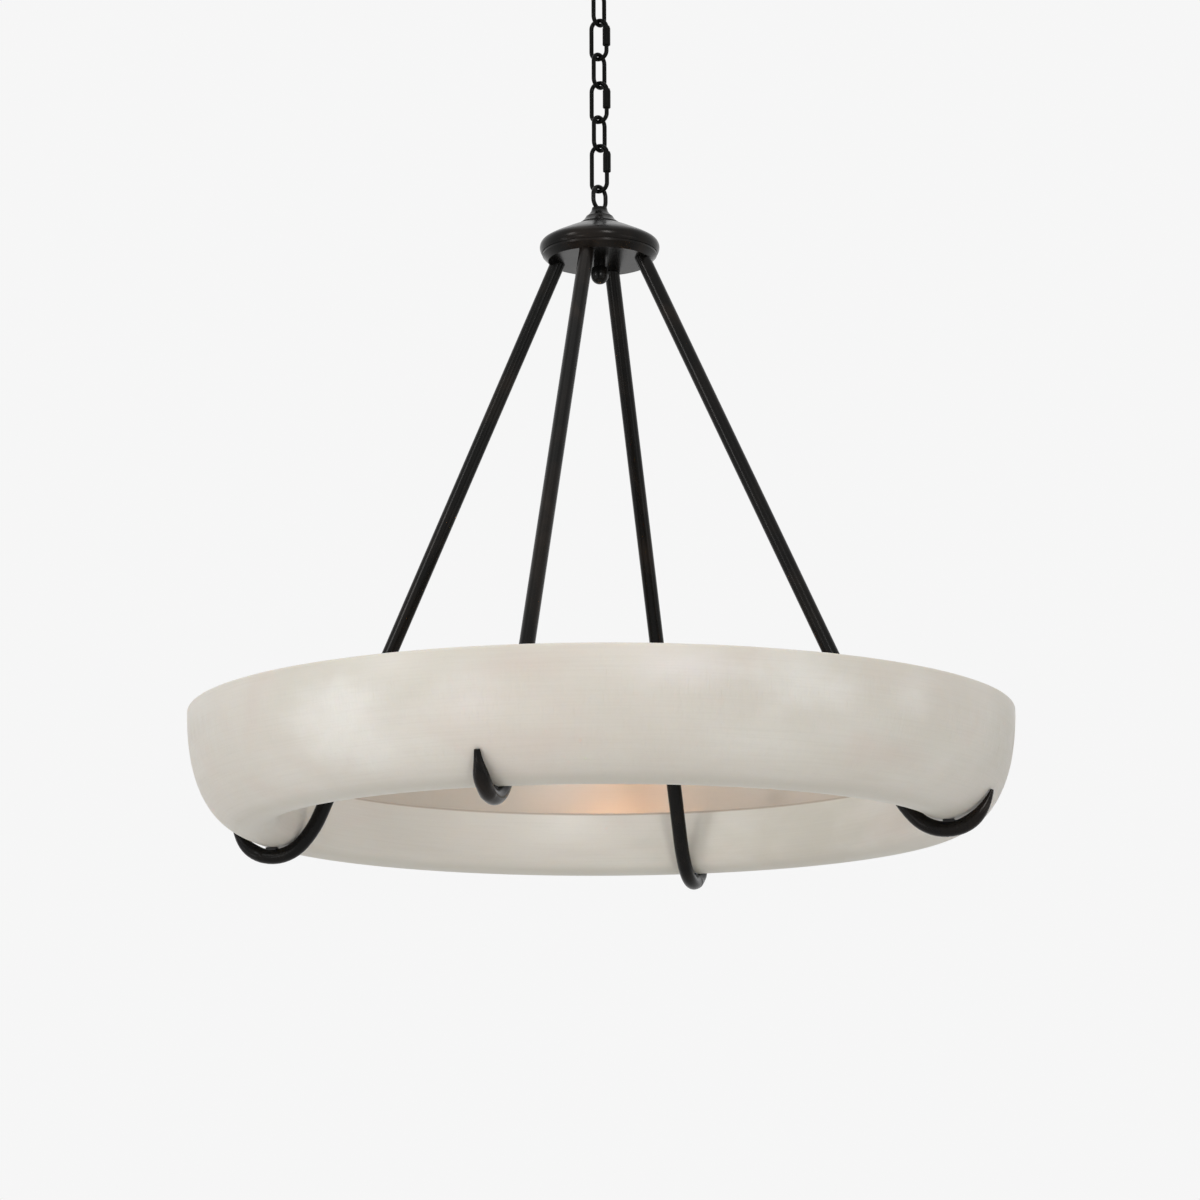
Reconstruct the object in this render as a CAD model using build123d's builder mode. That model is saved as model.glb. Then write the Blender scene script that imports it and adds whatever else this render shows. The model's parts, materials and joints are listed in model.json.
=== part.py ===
"""Alabaster ring pendant on a screw-lock chain: every piece in one frame.

Millimetres, +Z up. The origin is the centre of the ceiling strap's top face.
The four arms lie along +X, +Y, -X and -Y.
"""
import os
from math import asin, atan2, cos, degrees, radians, sin

from build123d import *

os.makedirs("parts", exist_ok=True)

# Fits
RUNNING = 0.05
LINK_GAP = 0.3
SEAT_GAP = 0.02

# Wire of every link and eye
WIRE_D = 5.0
WIRE_R = WIRE_D / 2
LINK_WIDTH = 24.0
LINK_BEND = (LINK_WIDTH - WIRE_D) / 2
LINK_TURN = 66.4
LOCK_TURN = -8.6

# Hanging pitch of each link, contact to contact
PLAIN_PITCH = 34.2
LOCK_PITCH = 41.2
LONG_LOCK_PITCH = 48.8

# Screw sleeve on a screw-lock link
SLEEVE_D = 9.1
SLEEVE_R = SLEEVE_D / 2
SLEEVE_DROP = 10.6
SLEEVE_LENGTH = 23.0
LONG_SLEEVE_LENGTH = 24.0
SLEEVE_TAPER = 3.0
SLEEVE_TAPER_R = 3.7
SLEEVE_MOUTH_R = 3.75
SLEEVE_MOUTH_DEPTH = 5.4
SLEEVE_MOUTH_CONE = 1.2
SLEEVE_LEAD = 0.5
SLEEVE_LEAD_DEPTH = 2.0
SLEEVE_EDGE = 0.4
LOCK_STUD_END = 14.6
LOCK_MOUTH = 5.4

# Eyes at both ends of the chain
EYE_WIDTH = 26.5
EYE_BEND = (EYE_WIDTH - WIRE_D) / 2
EYE_INNER = 21.3
NECK_R = 9.3
STEM_END_GAP = 1.0

# Ceiling strap
STRAP_WIDTH = 20.0
STRAP_THICK = 2.5
STRAP_END = 3.55
SLOT_SPACING = 88.9
SLOT_LENGTH = 12.0
SLOT_WIDTH = 5.0
STRAP_LENGTH = SLOT_SPACING + SLOT_LENGTH + 2 * STRAP_END

# Threaded tube and its nuts, shown plain
STEM_R = 5.0
STEM_BORE_R = 3.2
STEM_LENGTH = 42.0
NUT_FLATS = 14.0
NUT_THICK = 4.0

# Ceiling cover and its ring nut
CANOPY_R = 68.25
CANOPY_SHEET = 1.5
CANOPY_DEPTH = 36.0
CANOPY_RIM = 8.0
CANOPY_FLAT_R = 24.0
COLLAR_BORE_R = 15.0
COLLAR_R = 19.5
COLLAR_HEIGHT = 9.0
COLLAR_EDGE = 1.2

# Ceiling eye
CEILING_EYE_BOTTOM = -74.9
SHANK_TOP = -28.0
SHANK_BOTTOM = -46.0
SHANK_CONE = 3.0
SHANK_NECK = 1.0

# Hub eye and turned cap, whose curve is given as radius and height above its base
EYE_RISE = 4.4
EYE_COLLAR = 3.4
EYE_COLLAR_TAPER = 12
EYE_SHANK_R = 7.0
HUB_CAP_R = 22.7
HUB_CAP_HEIGHT = 16.7
HUB_CAP_LIP = 1.6
CAP_HOLLOW = (18.2, 5.4)
CAP_WAIST = (15.5, 9.5)
CAP_NECK = (11.9, 12.6)

# Spun hub cover and its lining, as distances in from its widest radius and up from its foot
HUB_COVER_R = 68.2
HUB_SHEET = 2.0
HUB_COVER_RISE = 33.7
COVER_SLOPE = (16.9, 21.4)
COVER_SHOULDER = (5.4, 15.3)
COVER_ROUND = (1.0, 10.9)
COVER_WIDEST = (0.0, 6.7)
COVER_TUCK = (0.6, 3.1)
COVER_FOOT = (2.2, 0.0)
LINING_SLOPE = (17.8, 19.3)
LINING_SHOULDER = (7.0, 13.1)
LINING_ROUND = (5.1, 11.3)
LINING_SIDE = (COVER_FOOT[0] + HUB_SHEET, 9.2)
LINING_FOOT = (COVER_FOOT[0] + HUB_SHEET, 0.0)

# Hub base plate, which steps into the cover, with its bevelled lower edge
PLATE_INSET = 0.9
PLATE_STEP_GAP = 0.5
PLATE_STEP = 6.0
PLATE_TOTAL = 15.5
PLATE_BEVEL = 5.1
PLATE_BEVEL_RISE = 6.8
PLATE_EDGE = 1.4
PLATE_R = HUB_COVER_R - COVER_FOOT[0] - PLATE_INSET
PLATE_STEP_R = HUB_COVER_R - LINING_FOOT[0] - PLATE_STEP_GAP
PLATE_EDGE_R = PLATE_R - PLATE_BEVEL
HUB_STEM_TOP = 12.0
HUB_NUT_FLATS = 17.0
HUB_NUT_THICK = 5.0

# Knob finial under the plate
FINIAL_R = 10.0
FINIAL_DROP = 16.7
FINIAL_NECK_R = 6.9
FINIAL_NECK = 6.5
FINIAL_SHOULDER_R = 8.8
FINIAL_SHOULDER_DROP = 7.6

# Arms: a straight tube, then a forged hook that ends in a flattened claw
BAR_R = 8.5
BAR_BORE_R = 4.5
BAR_FROM_EDGE = 9.3
BAR_IN_PLATE = 18.0
EASE_BEND = 111.5
EASE_HEADING = -46.05
HOOK_BEND = 47.9
HOOK_ANGLE = 100.0
HOOK_INSET = 1.9
TIP_BEND = 80.0
TIP_RUN = 24.0
CLAW_TAPER = 44.0
CLAW_TIP_HALF = 1.8
CLAW_POWER = 1.45
CLAW_WIDTHS = (
    (58.0, 17.0),
    (47.0, 17.3),
    (37.0, 17.6),
    (29.0, 17.0),
    (21.0, 14.2),
    (14.0, 11.0),
    (7.0, 8.4),
    (0.0, 6.2),
)

# Wire outlet on each arm
OUTLET_H = -38.0
OUTLET_R = 3.0
OUTLET_BORE_PAST = 6.0
BUSH_BORE_R = 1.8
BUSH_PROUD = 1.0
BUSH_EDGE = 0.4

# Grub screws that lock the arms
GRUB_R = 2.0
GRUB_HEX_R = 1.1
GRUB_HEX_DEPTH = 2.5
GRUB_TAIL = 1.4

# Rest pads between hook and stone
PAD_LENGTH = 12.0
PAD_WIDTH = 10.0
PAD_THICK = 2.0
PAD_OUT = 0.2
PAD_BLOCK = 7.0

# Alabaster ring, turned section
RIM_R = 457.2
RIM_DROP = 524.5
RING_WIDTH = 104.9
RING_DEPTH = 131.0
FOOT_IN = 36.7
WALL = 16.0
INNER_RIM_H = -60.0
LIP_ROUND = 2.2
INNER_RIM_R = RIM_R - RING_WIDTH
RING_FOOT_R = INNER_RIM_R + FOOT_IN

# Pulls of the ring's curves: leans inwards from an edge, rises above the foot
SIDE_LEAN = 0.2
SIDE_RISE = 3.0
FOOT_OUT_PULL = 2.0
FOOT_IN_PULL = 44.0
INNER_LEAN = -0.2
INNER_RISE = 32.0
TROUGH_OUT = 0.5
TROUGH_LEAN = 1.2
TROUGH_OUT_PULL = 7.0
TROUGH_IN_PULL = 22.0
TROUGH_IN_RISE = 22.0

# Lamp carrier in the trough
CARRIER_OUT = 1.0
CARRIER_WIDTH = 21.0
CARRIER_THICK = 1.5
CARRIER_GAP = 0.126
LAMP_TURN = 12.0
LAMP_RISE = 9.2
HOLDER_FACE = 22.0
HOLDER_LENGTH = 22.0
HOLDER_WIDTH = 18.0
HOLDER_HEIGHT = 18.0
HOLDER_ROUND = 1.5
HOLDER_FOOT = 8.0
HOLDER_FOOT_THICK = 3.0
HOLDER_FOOT_LAP = 2.0
SOCKET_GAP = 0.2
SOCKET_ROUND = 1.2
LAMP_R = 8.0
LAMP_LENGTH = 40.0
LAMP_DOME = 5.0
LAMP_SHOULDER = 4.0
LAMP_BASE_WIDTH = 14.0
LAMP_BASE_HEIGHT = 7.0
LAMP_BASE_DEPTH = 5.0
LAMP_BASE_ROUND = 1.0
PIN_R = 0.9
PIN_LENGTH = 11.0
PIN_END_GAP = 0.5
PIN_HALF_SPACING = 4.5
SCREW_R = 1.6
SCREW_HALF_SPACING = 5.0
SCREW_HEAD_R = 2.8
SCREW_HEAD = 1.8

# Heights of the chain contacts, from the ceiling eye down
LOCK_4_TOP = CEILING_EYE_BOTTOM
LINK_3_TOP = LOCK_4_TOP - LOCK_PITCH
LOCK_3_TOP = LINK_3_TOP - PLAIN_PITCH
LINK_2_TOP = LOCK_3_TOP - LOCK_PITCH
LOCK_2_TOP = LINK_2_TOP - PLAIN_PITCH
LINK_1_TOP = LOCK_2_TOP - LOCK_PITCH
LOCK_1_TOP = LINK_1_TOP - PLAIN_PITCH
HUB_EYE_TOP = LOCK_1_TOP - LONG_LOCK_PITCH

# Heights of the hub and of the ring's outer rim
CAP_TOP = HUB_EYE_TOP - EYE_INNER - EYE_RISE
CAP_BASE = CAP_TOP - HUB_CAP_HEIGHT
COVER_EDGE = CAP_BASE - HUB_COVER_RISE
PLATE_TOP = COVER_EDGE + PLATE_STEP
PLATE_FACE = PLATE_TOP - PLATE_TOTAL
RIM_Z = PLATE_FACE - RIM_DROP
FOOT_Z = RIM_Z - RING_DEPTH
TROUGH_Z = FOOT_Z + WALL
CARRIER_MID_R = RING_FOOT_R + CARRIER_OUT
QUARTERS = (0, 90, 180, 270)


def direction(heading):
    """Unit vector of the arm's plane at a heading in degrees."""
    return Vector(cos(radians(heading)), sin(radians(heading)))


def on_bend(centre, radius, heading):
    """Point of a left-hand bend at a heading in degrees."""
    return centre + direction(heading - 90) * radius


# One arm in its own plane, as radius from the lamp's axis and height
HOOK_CENTRE = Vector(RING_FOOT_R - HOOK_INSET, FOOT_Z - PAD_THICK - BAR_R + HOOK_BEND)
EASE_CENTRE = HOOK_CENTRE + direction(EASE_HEADING + 90) * (EASE_BEND - HOOK_BEND)
BAR_AT_FACE = Vector(PLATE_EDGE_R - BAR_FROM_EDGE, PLATE_FACE)
TO_EASE = EASE_CENTRE - BAR_AT_FACE
BAR_HEADING = degrees(atan2(TO_EASE.Y, TO_EASE.X) - asin(EASE_BEND / TO_EASE.length))
BAR_TILT = BAR_HEADING + 90
BAR_TOP = BAR_AT_FACE - direction(BAR_HEADING) * BAR_IN_PLATE
BEND_START = on_bend(EASE_CENTRE, EASE_BEND, BAR_HEADING)
EASE_END = on_bend(EASE_CENTRE, EASE_BEND, EASE_HEADING)

# The hook's last part, bent less towards the tip
HOOK_HEADING = EASE_HEADING + HOOK_ANGLE
TIP_CENTRE = on_bend(HOOK_CENTRE, HOOK_BEND - TIP_BEND, HOOK_HEADING)
TIP_HEADING = HOOK_HEADING + degrees(TIP_RUN / TIP_BEND)


def claw_place(left):
    """Point and heading of the hook's centre line at a distance from its tip."""
    if left < TIP_RUN:
        heading = TIP_HEADING - degrees(left / TIP_BEND)
        return on_bend(TIP_CENTRE, TIP_BEND, heading), heading
    heading = HOOK_HEADING - degrees((left - TIP_RUN) / HOOK_BEND)
    return on_bend(HOOK_CENTRE, HOOK_BEND, heading), heading


def in_plane(point):
    """A point of the arm's plane as a 3-D point."""
    return point.X, 0, point.Y


def bar_at(height):
    """Radius of an arm's centre line at a height of its straight part."""
    return BAR_TOP.X + (BAR_TOP.Y - height) * sin(radians(BAR_TILT)) / cos(radians(BAR_TILT))


def bar_plane():
    """Plane across the arm's top end, facing down the tube."""
    return Plane(origin=in_plane(BAR_TOP), x_dir=(0, 1, 0), z_dir=in_plane(BEND_START - BAR_TOP))


def on_cover(point):
    """A point of the hub cover's section from its distances in and up."""
    return HUB_COVER_R - point[0], COVER_EDGE + point[1]


def above_cap_base(point):
    """A point of the hub cap's section from its radius and height."""
    return point[0], CAP_BASE + point[1]


def wire_loop(bend, inner, top, turn):
    """Round wire closed to a loop; the window's top edge is at the given height."""
    mid = top - inner / 2
    half_leg = (inner + WIRE_D) / 2 - bend
    with BuildPart() as loop:
        with BuildSketch(Plane.XY.offset(mid - half_leg)):
            with Locations((bend, 0), (-bend, 0)):
                Circle(WIRE_R)
        extrude(amount=2 * half_leg)
        for side in (-1, 1):
            end = mid + side * half_leg
            with BuildSketch(Plane.XY.offset(end)):
                with Locations((bend, 0)):
                    Circle(WIRE_R)
            revolve(axis=Axis((0, 0, end), (0, -side, 0)), revolution_arc=180)
    return loop.part.rotate(Axis.Z, turn)


def lock_body(top, pitch):
    """Screw-lock link without its sleeve: a loop with a mouth under the sleeve."""
    mouth_top = top + LINK_GAP + WIRE_D - LOCK_STUD_END
    with BuildPart() as lock:
        add(wire_loop(LINK_BEND, pitch + LINK_GAP, top + LINK_GAP, 0))
        with BuildSketch(Plane.XY.offset(mouth_top - LOCK_MOUTH)):
            with Locations((LINK_BEND, 0)):
                Circle(WIRE_D)
        extrude(amount=LOCK_MOUTH, mode=Mode.SUBTRACT)
    return lock.part.rotate(Axis.Z, LOCK_TURN)


def lock_sleeve(top, length):
    """Screw sleeve: tapered top end, square lower end with a wide mouth."""
    high = top + LINK_GAP + WIRE_D - SLEEVE_DROP
    low = high - length
    bore = WIRE_R + RUNNING
    section = (
        (bore, low + SLEEVE_MOUTH_DEPTH),
        (SLEEVE_MOUTH_R, low + SLEEVE_MOUTH_DEPTH - SLEEVE_MOUTH_CONE),
        (SLEEVE_MOUTH_R, low),
        (SLEEVE_R - SLEEVE_EDGE, low),
        (SLEEVE_R, low + SLEEVE_EDGE),
        (SLEEVE_R, high - SLEEVE_TAPER),
        (SLEEVE_TAPER_R, high),
        (bore + SLEEVE_LEAD, high),
        (bore, high - SLEEVE_LEAD_DEPTH),
    )
    with BuildPart() as sleeve:
        with BuildSketch(Plane.XZ):
            with BuildLine():
                Polyline(*[(LINK_BEND + r, z) for r, z in section], close=True)
            make_face()
        revolve(axis=Axis((LINK_BEND, 0, 0), (0, 0, 1)))
    return sleeve.part.rotate(Axis.Z, LOCK_TURN)


def arm_rod(radius):
    """Round rod along the arm's centre line, from its top end to the claw."""
    hook_end, end_heading = claw_place(CLAW_WIDTHS[0][0])
    ease_mid = on_bend(EASE_CENTRE, EASE_BEND, (BAR_HEADING + EASE_HEADING) / 2)
    hook_mid = on_bend(HOOK_CENTRE, HOOK_BEND, (EASE_HEADING + end_heading) / 2)
    with BuildPart() as rod:
        with BuildLine() as path:
            Line(in_plane(BAR_TOP), in_plane(BEND_START))
            ThreePointArc(in_plane(BEND_START), in_plane(ease_mid), in_plane(EASE_END))
            ThreePointArc(in_plane(EASE_END), in_plane(hook_mid), in_plane(hook_end))
        with BuildSketch(bar_plane()):
            Circle(radius)
        sweep(path=path.line)
    return rod.part


def claw_half(left):
    """Half thickness of the claw at a distance from its tip."""
    share = max(0.0, 1 - left / CLAW_TAPER)
    return BAR_R - (BAR_R - CLAW_TIP_HALF) * share ** CLAW_POWER


def claw():
    """Forged end of the hook: thinner and flatter towards the tip."""
    with BuildPart() as forged:
        for left, width in CLAW_WIDTHS:
            middle, heading = claw_place(left)
            run = in_plane(direction(heading))
            with BuildSketch(Plane(origin=in_plane(middle), x_dir=(0, 1, 0), z_dir=run)):
                if width > 2 * BAR_R or left < CLAW_TAPER:
                    Ellipse(width / 2, claw_half(left))
                else:
                    Circle(BAR_R)
        loft()
    return forged.part


def outlet_plane():
    """Plane on the arm's centre line at the wire outlet, facing the ring."""
    height = RIM_Z + OUTLET_H
    tilt = radians(BAR_TILT)
    return Plane(
        origin=(bar_at(height), 0, height),
        x_dir=(0, 1, 0),
        z_dir=(cos(tilt), 0, sin(tilt)),
    )


def tube_bore():
    """Bore from the arm's top end to just past the wire outlet, and the outlet."""
    outlet_depth = (BAR_TOP.Y - RIM_Z - OUTLET_H) / cos(radians(BAR_TILT))
    with BuildPart() as bore:
        with BuildSketch(bar_plane()):
            Circle(BAR_BORE_R)
        extrude(amount=outlet_depth + OUTLET_BORE_PAST)
        with BuildSketch(outlet_plane()):
            Circle(OUTLET_R)
        extrude(amount=2 * BAR_R)
    return bore.part


def outlet_bush():
    """Rubber bush in the wire outlet."""
    with BuildPart() as bush:
        with BuildSketch(outlet_plane().offset(BAR_BORE_R)):
            Circle(OUTLET_R - RUNNING)
            Circle(BUSH_BORE_R, mode=Mode.SUBTRACT)
        extrude(amount=BAR_R + BUSH_PROUD - BAR_BORE_R)
        outer = bush.faces().sort_by(Axis.X)[-1]
        fillet(outer.outer_wire().edges(), BUSH_EDGE)
    return bush.part


def height_at(curve, radius):
    """Height of one of the trough's curves at a radius, found by halving."""
    inner, outer = 0.0, 1.0
    for _ in range(50):
        middle = (inner + outer) / 2
        if (curve @ middle).X < radius:
            inner = middle
        else:
            outer = middle
    return (curve @ inner).Y


def lamp_plane(quarter, height):
    """Level plane under a lamp: +X along the lamp towards its holder, origin below its middle."""
    turn = radians(quarter + LAMP_TURN)
    return Plane(
        origin=(CARRIER_MID_R * cos(turn), CARRIER_MID_R * sin(turn), height),
        x_dir=(-sin(turn), cos(turn), 0),
        z_dir=(0, 0, 1),
    )


def lamp_cross(quarter, height, along):
    """Upright plane across a lamp at a distance along it, facing the holder."""
    level = lamp_plane(quarter, height)
    return Plane(
        origin=level.origin + level.x_dir * along,
        x_dir=level.y_dir,
        z_dir=level.x_dir,
    )


# Ceiling strap with two slots for the box screws
with BuildPart() as crossbar:
    with BuildSketch(Plane.XY.offset(-STRAP_THICK)):
        SlotOverall(STRAP_LENGTH, STRAP_WIDTH)
        Circle(STEM_R + RUNNING, mode=Mode.SUBTRACT)
        with Locations((-SLOT_SPACING / 2, 0), (SLOT_SPACING / 2, 0)):
            SlotOverall(SLOT_LENGTH, SLOT_WIDTH, mode=Mode.SUBTRACT)
    extrude(amount=STRAP_THICK)

# Hollow stem from the strap into the ceiling eye
with BuildPart() as ceiling_stem:
    with BuildSketch(Plane.XY.offset(-STEM_LENGTH)):
        Circle(STEM_R)
        Circle(STEM_BORE_R, mode=Mode.SUBTRACT)
    extrude(amount=STEM_LENGTH)

# Lock nut under the strap
with BuildPart() as stem_nut:
    with BuildSketch(Plane.XY.offset(-STRAP_THICK - NUT_THICK)):
        RegularPolygon(NUT_FLATS / 2, 6, major_radius=False)
        Circle(STEM_R + RUNNING, mode=Mode.SUBTRACT)
    extrude(amount=NUT_THICK)

# Ceiling cover, a spun shell
canopy_hole = COLLAR_BORE_R + RUNNING
with BuildPart() as canopy:
    with BuildSketch(Plane.XZ):
        with BuildLine():
            rim = Line((CANOPY_R, 0), (CANOPY_R, -CANOPY_RIM))
            dome = EllipticalCenterArc(
                (CANOPY_FLAT_R, -CANOPY_RIM),
                CANOPY_R - CANOPY_FLAT_R,
                CANOPY_DEPTH - CANOPY_RIM,
                start_angle=270,
                arc_size=90,
            )
            lining = EllipticalCenterArc(
                (CANOPY_FLAT_R, -CANOPY_RIM),
                CANOPY_R - CANOPY_SHEET - CANOPY_FLAT_R,
                CANOPY_DEPTH - CANOPY_RIM - CANOPY_SHEET,
                start_angle=270,
                arc_size=90,
            )
            Line(dome @ 0, (canopy_hole, -CANOPY_DEPTH))
            Line((canopy_hole, -CANOPY_DEPTH), (canopy_hole, CANOPY_SHEET - CANOPY_DEPTH))
            Line((canopy_hole, CANOPY_SHEET - CANOPY_DEPTH), lining @ 0)
            Line(lining @ 1, (CANOPY_R - CANOPY_SHEET, 0))
            Line((CANOPY_R - CANOPY_SHEET, 0), rim @ 0)
        make_face()
    revolve(axis=Axis.Z)

# Ring nut that holds the ceiling cover up
with BuildPart() as screw_collar:
    with BuildSketch(Plane.XZ):
        with BuildLine():
            Polyline(
                (COLLAR_BORE_R, -CANOPY_DEPTH),
                (COLLAR_R, -CANOPY_DEPTH),
                (COLLAR_R, COLLAR_EDGE - CANOPY_DEPTH - COLLAR_HEIGHT),
                (COLLAR_R - COLLAR_EDGE, -CANOPY_DEPTH - COLLAR_HEIGHT),
                (COLLAR_BORE_R, -CANOPY_DEPTH - COLLAR_HEIGHT),
                close=True,
            )
        make_face()
    revolve(axis=Axis.Z)

# Ceiling eye: a threaded shank, a neck and a wire eye
with BuildPart() as ceiling_eye:
    add(wire_loop(EYE_BEND, EYE_INNER, CEILING_EYE_BOTTOM + EYE_INNER, LINK_TURN))
    with BuildSketch(Plane.XZ):
        with BuildLine():
            Polyline(
                (0, SHANK_TOP),
                (COLLAR_BORE_R - RUNNING, SHANK_TOP),
                (COLLAR_BORE_R - RUNNING, SHANK_BOTTOM),
                (NECK_R, SHANK_BOTTOM - SHANK_CONE),
                (NECK_R, SHANK_BOTTOM - SHANK_CONE - SHANK_NECK),
                (0, SHANK_BOTTOM - SHANK_CONE - SHANK_NECK),
                close=True,
            )
        make_face()
    revolve(axis=Axis.Z)
    with BuildSketch(Plane.XY.offset(-STEM_LENGTH - STEM_END_GAP)):
        Circle(STEM_R + RUNNING)
    extrude(amount=STEM_LENGTH, mode=Mode.SUBTRACT)

# Closed chain links
chain_links = []
for link_top in (LINK_1_TOP, LINK_2_TOP, LINK_3_TOP):
    chain_links.append(
        wire_loop(LINK_BEND, PLAIN_PITCH + LINK_GAP, link_top + LINK_GAP, LINK_TURN))

# Screw-lock links and their sleeves
lock_rows = (
    (LOCK_1_TOP, LONG_LOCK_PITCH, LONG_SLEEVE_LENGTH),
    (LOCK_2_TOP, LOCK_PITCH, SLEEVE_LENGTH),
    (LOCK_3_TOP, LOCK_PITCH, SLEEVE_LENGTH),
    (LOCK_4_TOP, LOCK_PITCH, SLEEVE_LENGTH),
)
lock_links = []
lock_sleeves = []
for lock_top, lock_pitch, sleeve_length in lock_rows:
    lock_links.append(lock_body(lock_top, lock_pitch))
    lock_sleeves.append(lock_sleeve(lock_top, sleeve_length))

# Hub eye: loop, collar and a hollow shank for the stem
with BuildPart() as hub_eye:
    add(wire_loop(EYE_BEND, EYE_INNER, HUB_EYE_TOP + LINK_GAP, LINK_TURN))
    with BuildSketch(Plane.XY.offset(CAP_TOP)):
        Circle(NECK_R)
    extrude(amount=EYE_COLLAR, taper=EYE_COLLAR_TAPER)
    with BuildSketch(Plane.XY.offset(CAP_BASE)):
        Circle(EYE_SHANK_R)
    extrude(amount=HUB_CAP_HEIGHT)
    with BuildSketch(Plane.XY.offset(CAP_BASE)):
        Circle(STEM_R + RUNNING)
    extrude(amount=HUB_STEM_TOP + STEM_END_GAP, mode=Mode.SUBTRACT)

# Turned cap under the eye
cap_bore = EYE_SHANK_R + RUNNING
with BuildPart() as hub_cap:
    with BuildSketch(Plane.XZ):
        with BuildLine():
            lip_top = (HUB_CAP_R, CAP_BASE + HUB_CAP_LIP)
            waist = above_cap_base(CAP_WAIST)
            Line((cap_bore, CAP_BASE), (HUB_CAP_R, CAP_BASE))
            Line((HUB_CAP_R, CAP_BASE), lip_top)
            ThreePointArc(lip_top, above_cap_base(CAP_HOLLOW), waist)
            ThreePointArc(waist, above_cap_base(CAP_NECK), (NECK_R, CAP_TOP))
            Line((NECK_R, CAP_TOP), (cap_bore, CAP_TOP))
            Line((cap_bore, CAP_TOP), (cap_bore, CAP_BASE))
        make_face()
    revolve(axis=Axis.Z)

# Spun cover disc
cover_bore = STEM_R + RUNNING
cover_rows = [COVER_SLOPE, COVER_SHOULDER, COVER_ROUND, COVER_WIDEST, COVER_TUCK, COVER_FOOT]
slope, shoulder, bulge, widest, tuck, foot = [on_cover(row) for row in cover_rows]
lining_rows = [LINING_SLOPE, LINING_SHOULDER, LINING_ROUND, LINING_SIDE, LINING_FOOT]
in_slope, in_shoulder, in_bulge, in_side, in_foot = [on_cover(row) for row in lining_rows]
with BuildPart() as hub_cover:
    with BuildSketch(Plane.XZ):
        with BuildLine():
            start = (HUB_CAP_R, CAP_BASE)
            in_start = (HUB_CAP_R, CAP_BASE - HUB_SHEET)
            Line((cover_bore, CAP_BASE), start)
            Spline(start, slope, shoulder, tangents=((1, -0.32), (0.82, -0.57)))
            ThreePointArc(shoulder, bulge, widest)
            ThreePointArc(widest, tuck, foot)
            Line(foot, in_foot)
            Line(in_foot, in_side)
            ThreePointArc(in_side, in_bulge, in_shoulder)
            Spline(in_shoulder, in_slope, in_start, tangents=((-0.82, 0.57), (-1, 0.32)))
            Line(in_start, (cover_bore, CAP_BASE - HUB_SHEET))
            Line((cover_bore, CAP_BASE - HUB_SHEET), (cover_bore, CAP_BASE))
        make_face()
    revolve(axis=Axis.Z)

# Base plate with four slanted sockets and four grub screw holes
grub_z = PLATE_TOP - PLATE_STEP / 2
grub_inner = bar_at(grub_z - GRUB_R) + BAR_R / cos(radians(BAR_TILT)) + RUNNING
with BuildPart() as socket_cut:
    with BuildSketch(bar_plane().offset(-BAR_R)):
        Circle(BAR_R + RUNNING)
    extrude(amount=BAR_IN_PLATE + 3 * BAR_R)
    with BuildSketch(Plane.YZ.offset(bar_at(grub_z))):
        with Locations((0, grub_z)):
            Circle(GRUB_R + RUNNING)
    extrude(amount=PLATE_R)
with BuildPart() as hub_plate:
    with BuildSketch(Plane.XZ):
        with BuildLine():
            Polyline(
                (cover_bore, PLATE_FACE),
                (PLATE_EDGE_R - PLATE_EDGE, PLATE_FACE),
                (PLATE_EDGE_R, PLATE_FACE + PLATE_EDGE),
                (PLATE_R, PLATE_FACE + PLATE_BEVEL_RISE),
                (PLATE_R, COVER_EDGE),
                (PLATE_STEP_R, COVER_EDGE),
                (PLATE_STEP_R, PLATE_TOP),
                (cover_bore, PLATE_TOP),
                close=True,
            )
        make_face()
    revolve(axis=Axis.Z)
    for quarter in QUARTERS:
        add(socket_cut.part, rotation=(0, 0, quarter), mode=Mode.SUBTRACT)

# Grub screws, one per arm
with BuildPart() as arm_grub_screws:
    for quarter in QUARTERS:
        with BuildSketch(Plane.YZ.rotated((0, 0, quarter)).offset(grub_inner)):
            with Locations((0, grub_z)):
                Circle(GRUB_R)
        extrude(amount=PLATE_STEP_R - GRUB_TAIL - grub_inner)
        with BuildSketch(Plane.YZ.rotated((0, 0, quarter)).offset(PLATE_STEP_R - GRUB_TAIL)):
            with Locations((0, grub_z)):
                RegularPolygon(GRUB_HEX_R, 6)
        extrude(amount=-GRUB_HEX_DEPTH, mode=Mode.SUBTRACT)

# Hollow hub stem, from the eye down into the finial
knob_z = PLATE_FACE - FINIAL_DROP
with BuildPart() as hub_stem:
    with BuildSketch(Plane.XY.offset(knob_z)):
        Circle(STEM_R)
        Circle(STEM_BORE_R, mode=Mode.SUBTRACT)
    extrude(amount=CAP_BASE + HUB_STEM_TOP - knob_z)

# Nut that clamps the base plate on the stem
with BuildPart() as hub_nut:
    with BuildSketch(Plane.XY.offset(PLATE_TOP)):
        RegularPolygon(HUB_NUT_FLATS / 2, 6, major_radius=False)
        Circle(STEM_R + RUNNING, mode=Mode.SUBTRACT)
    extrude(amount=HUB_NUT_THICK)

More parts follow.
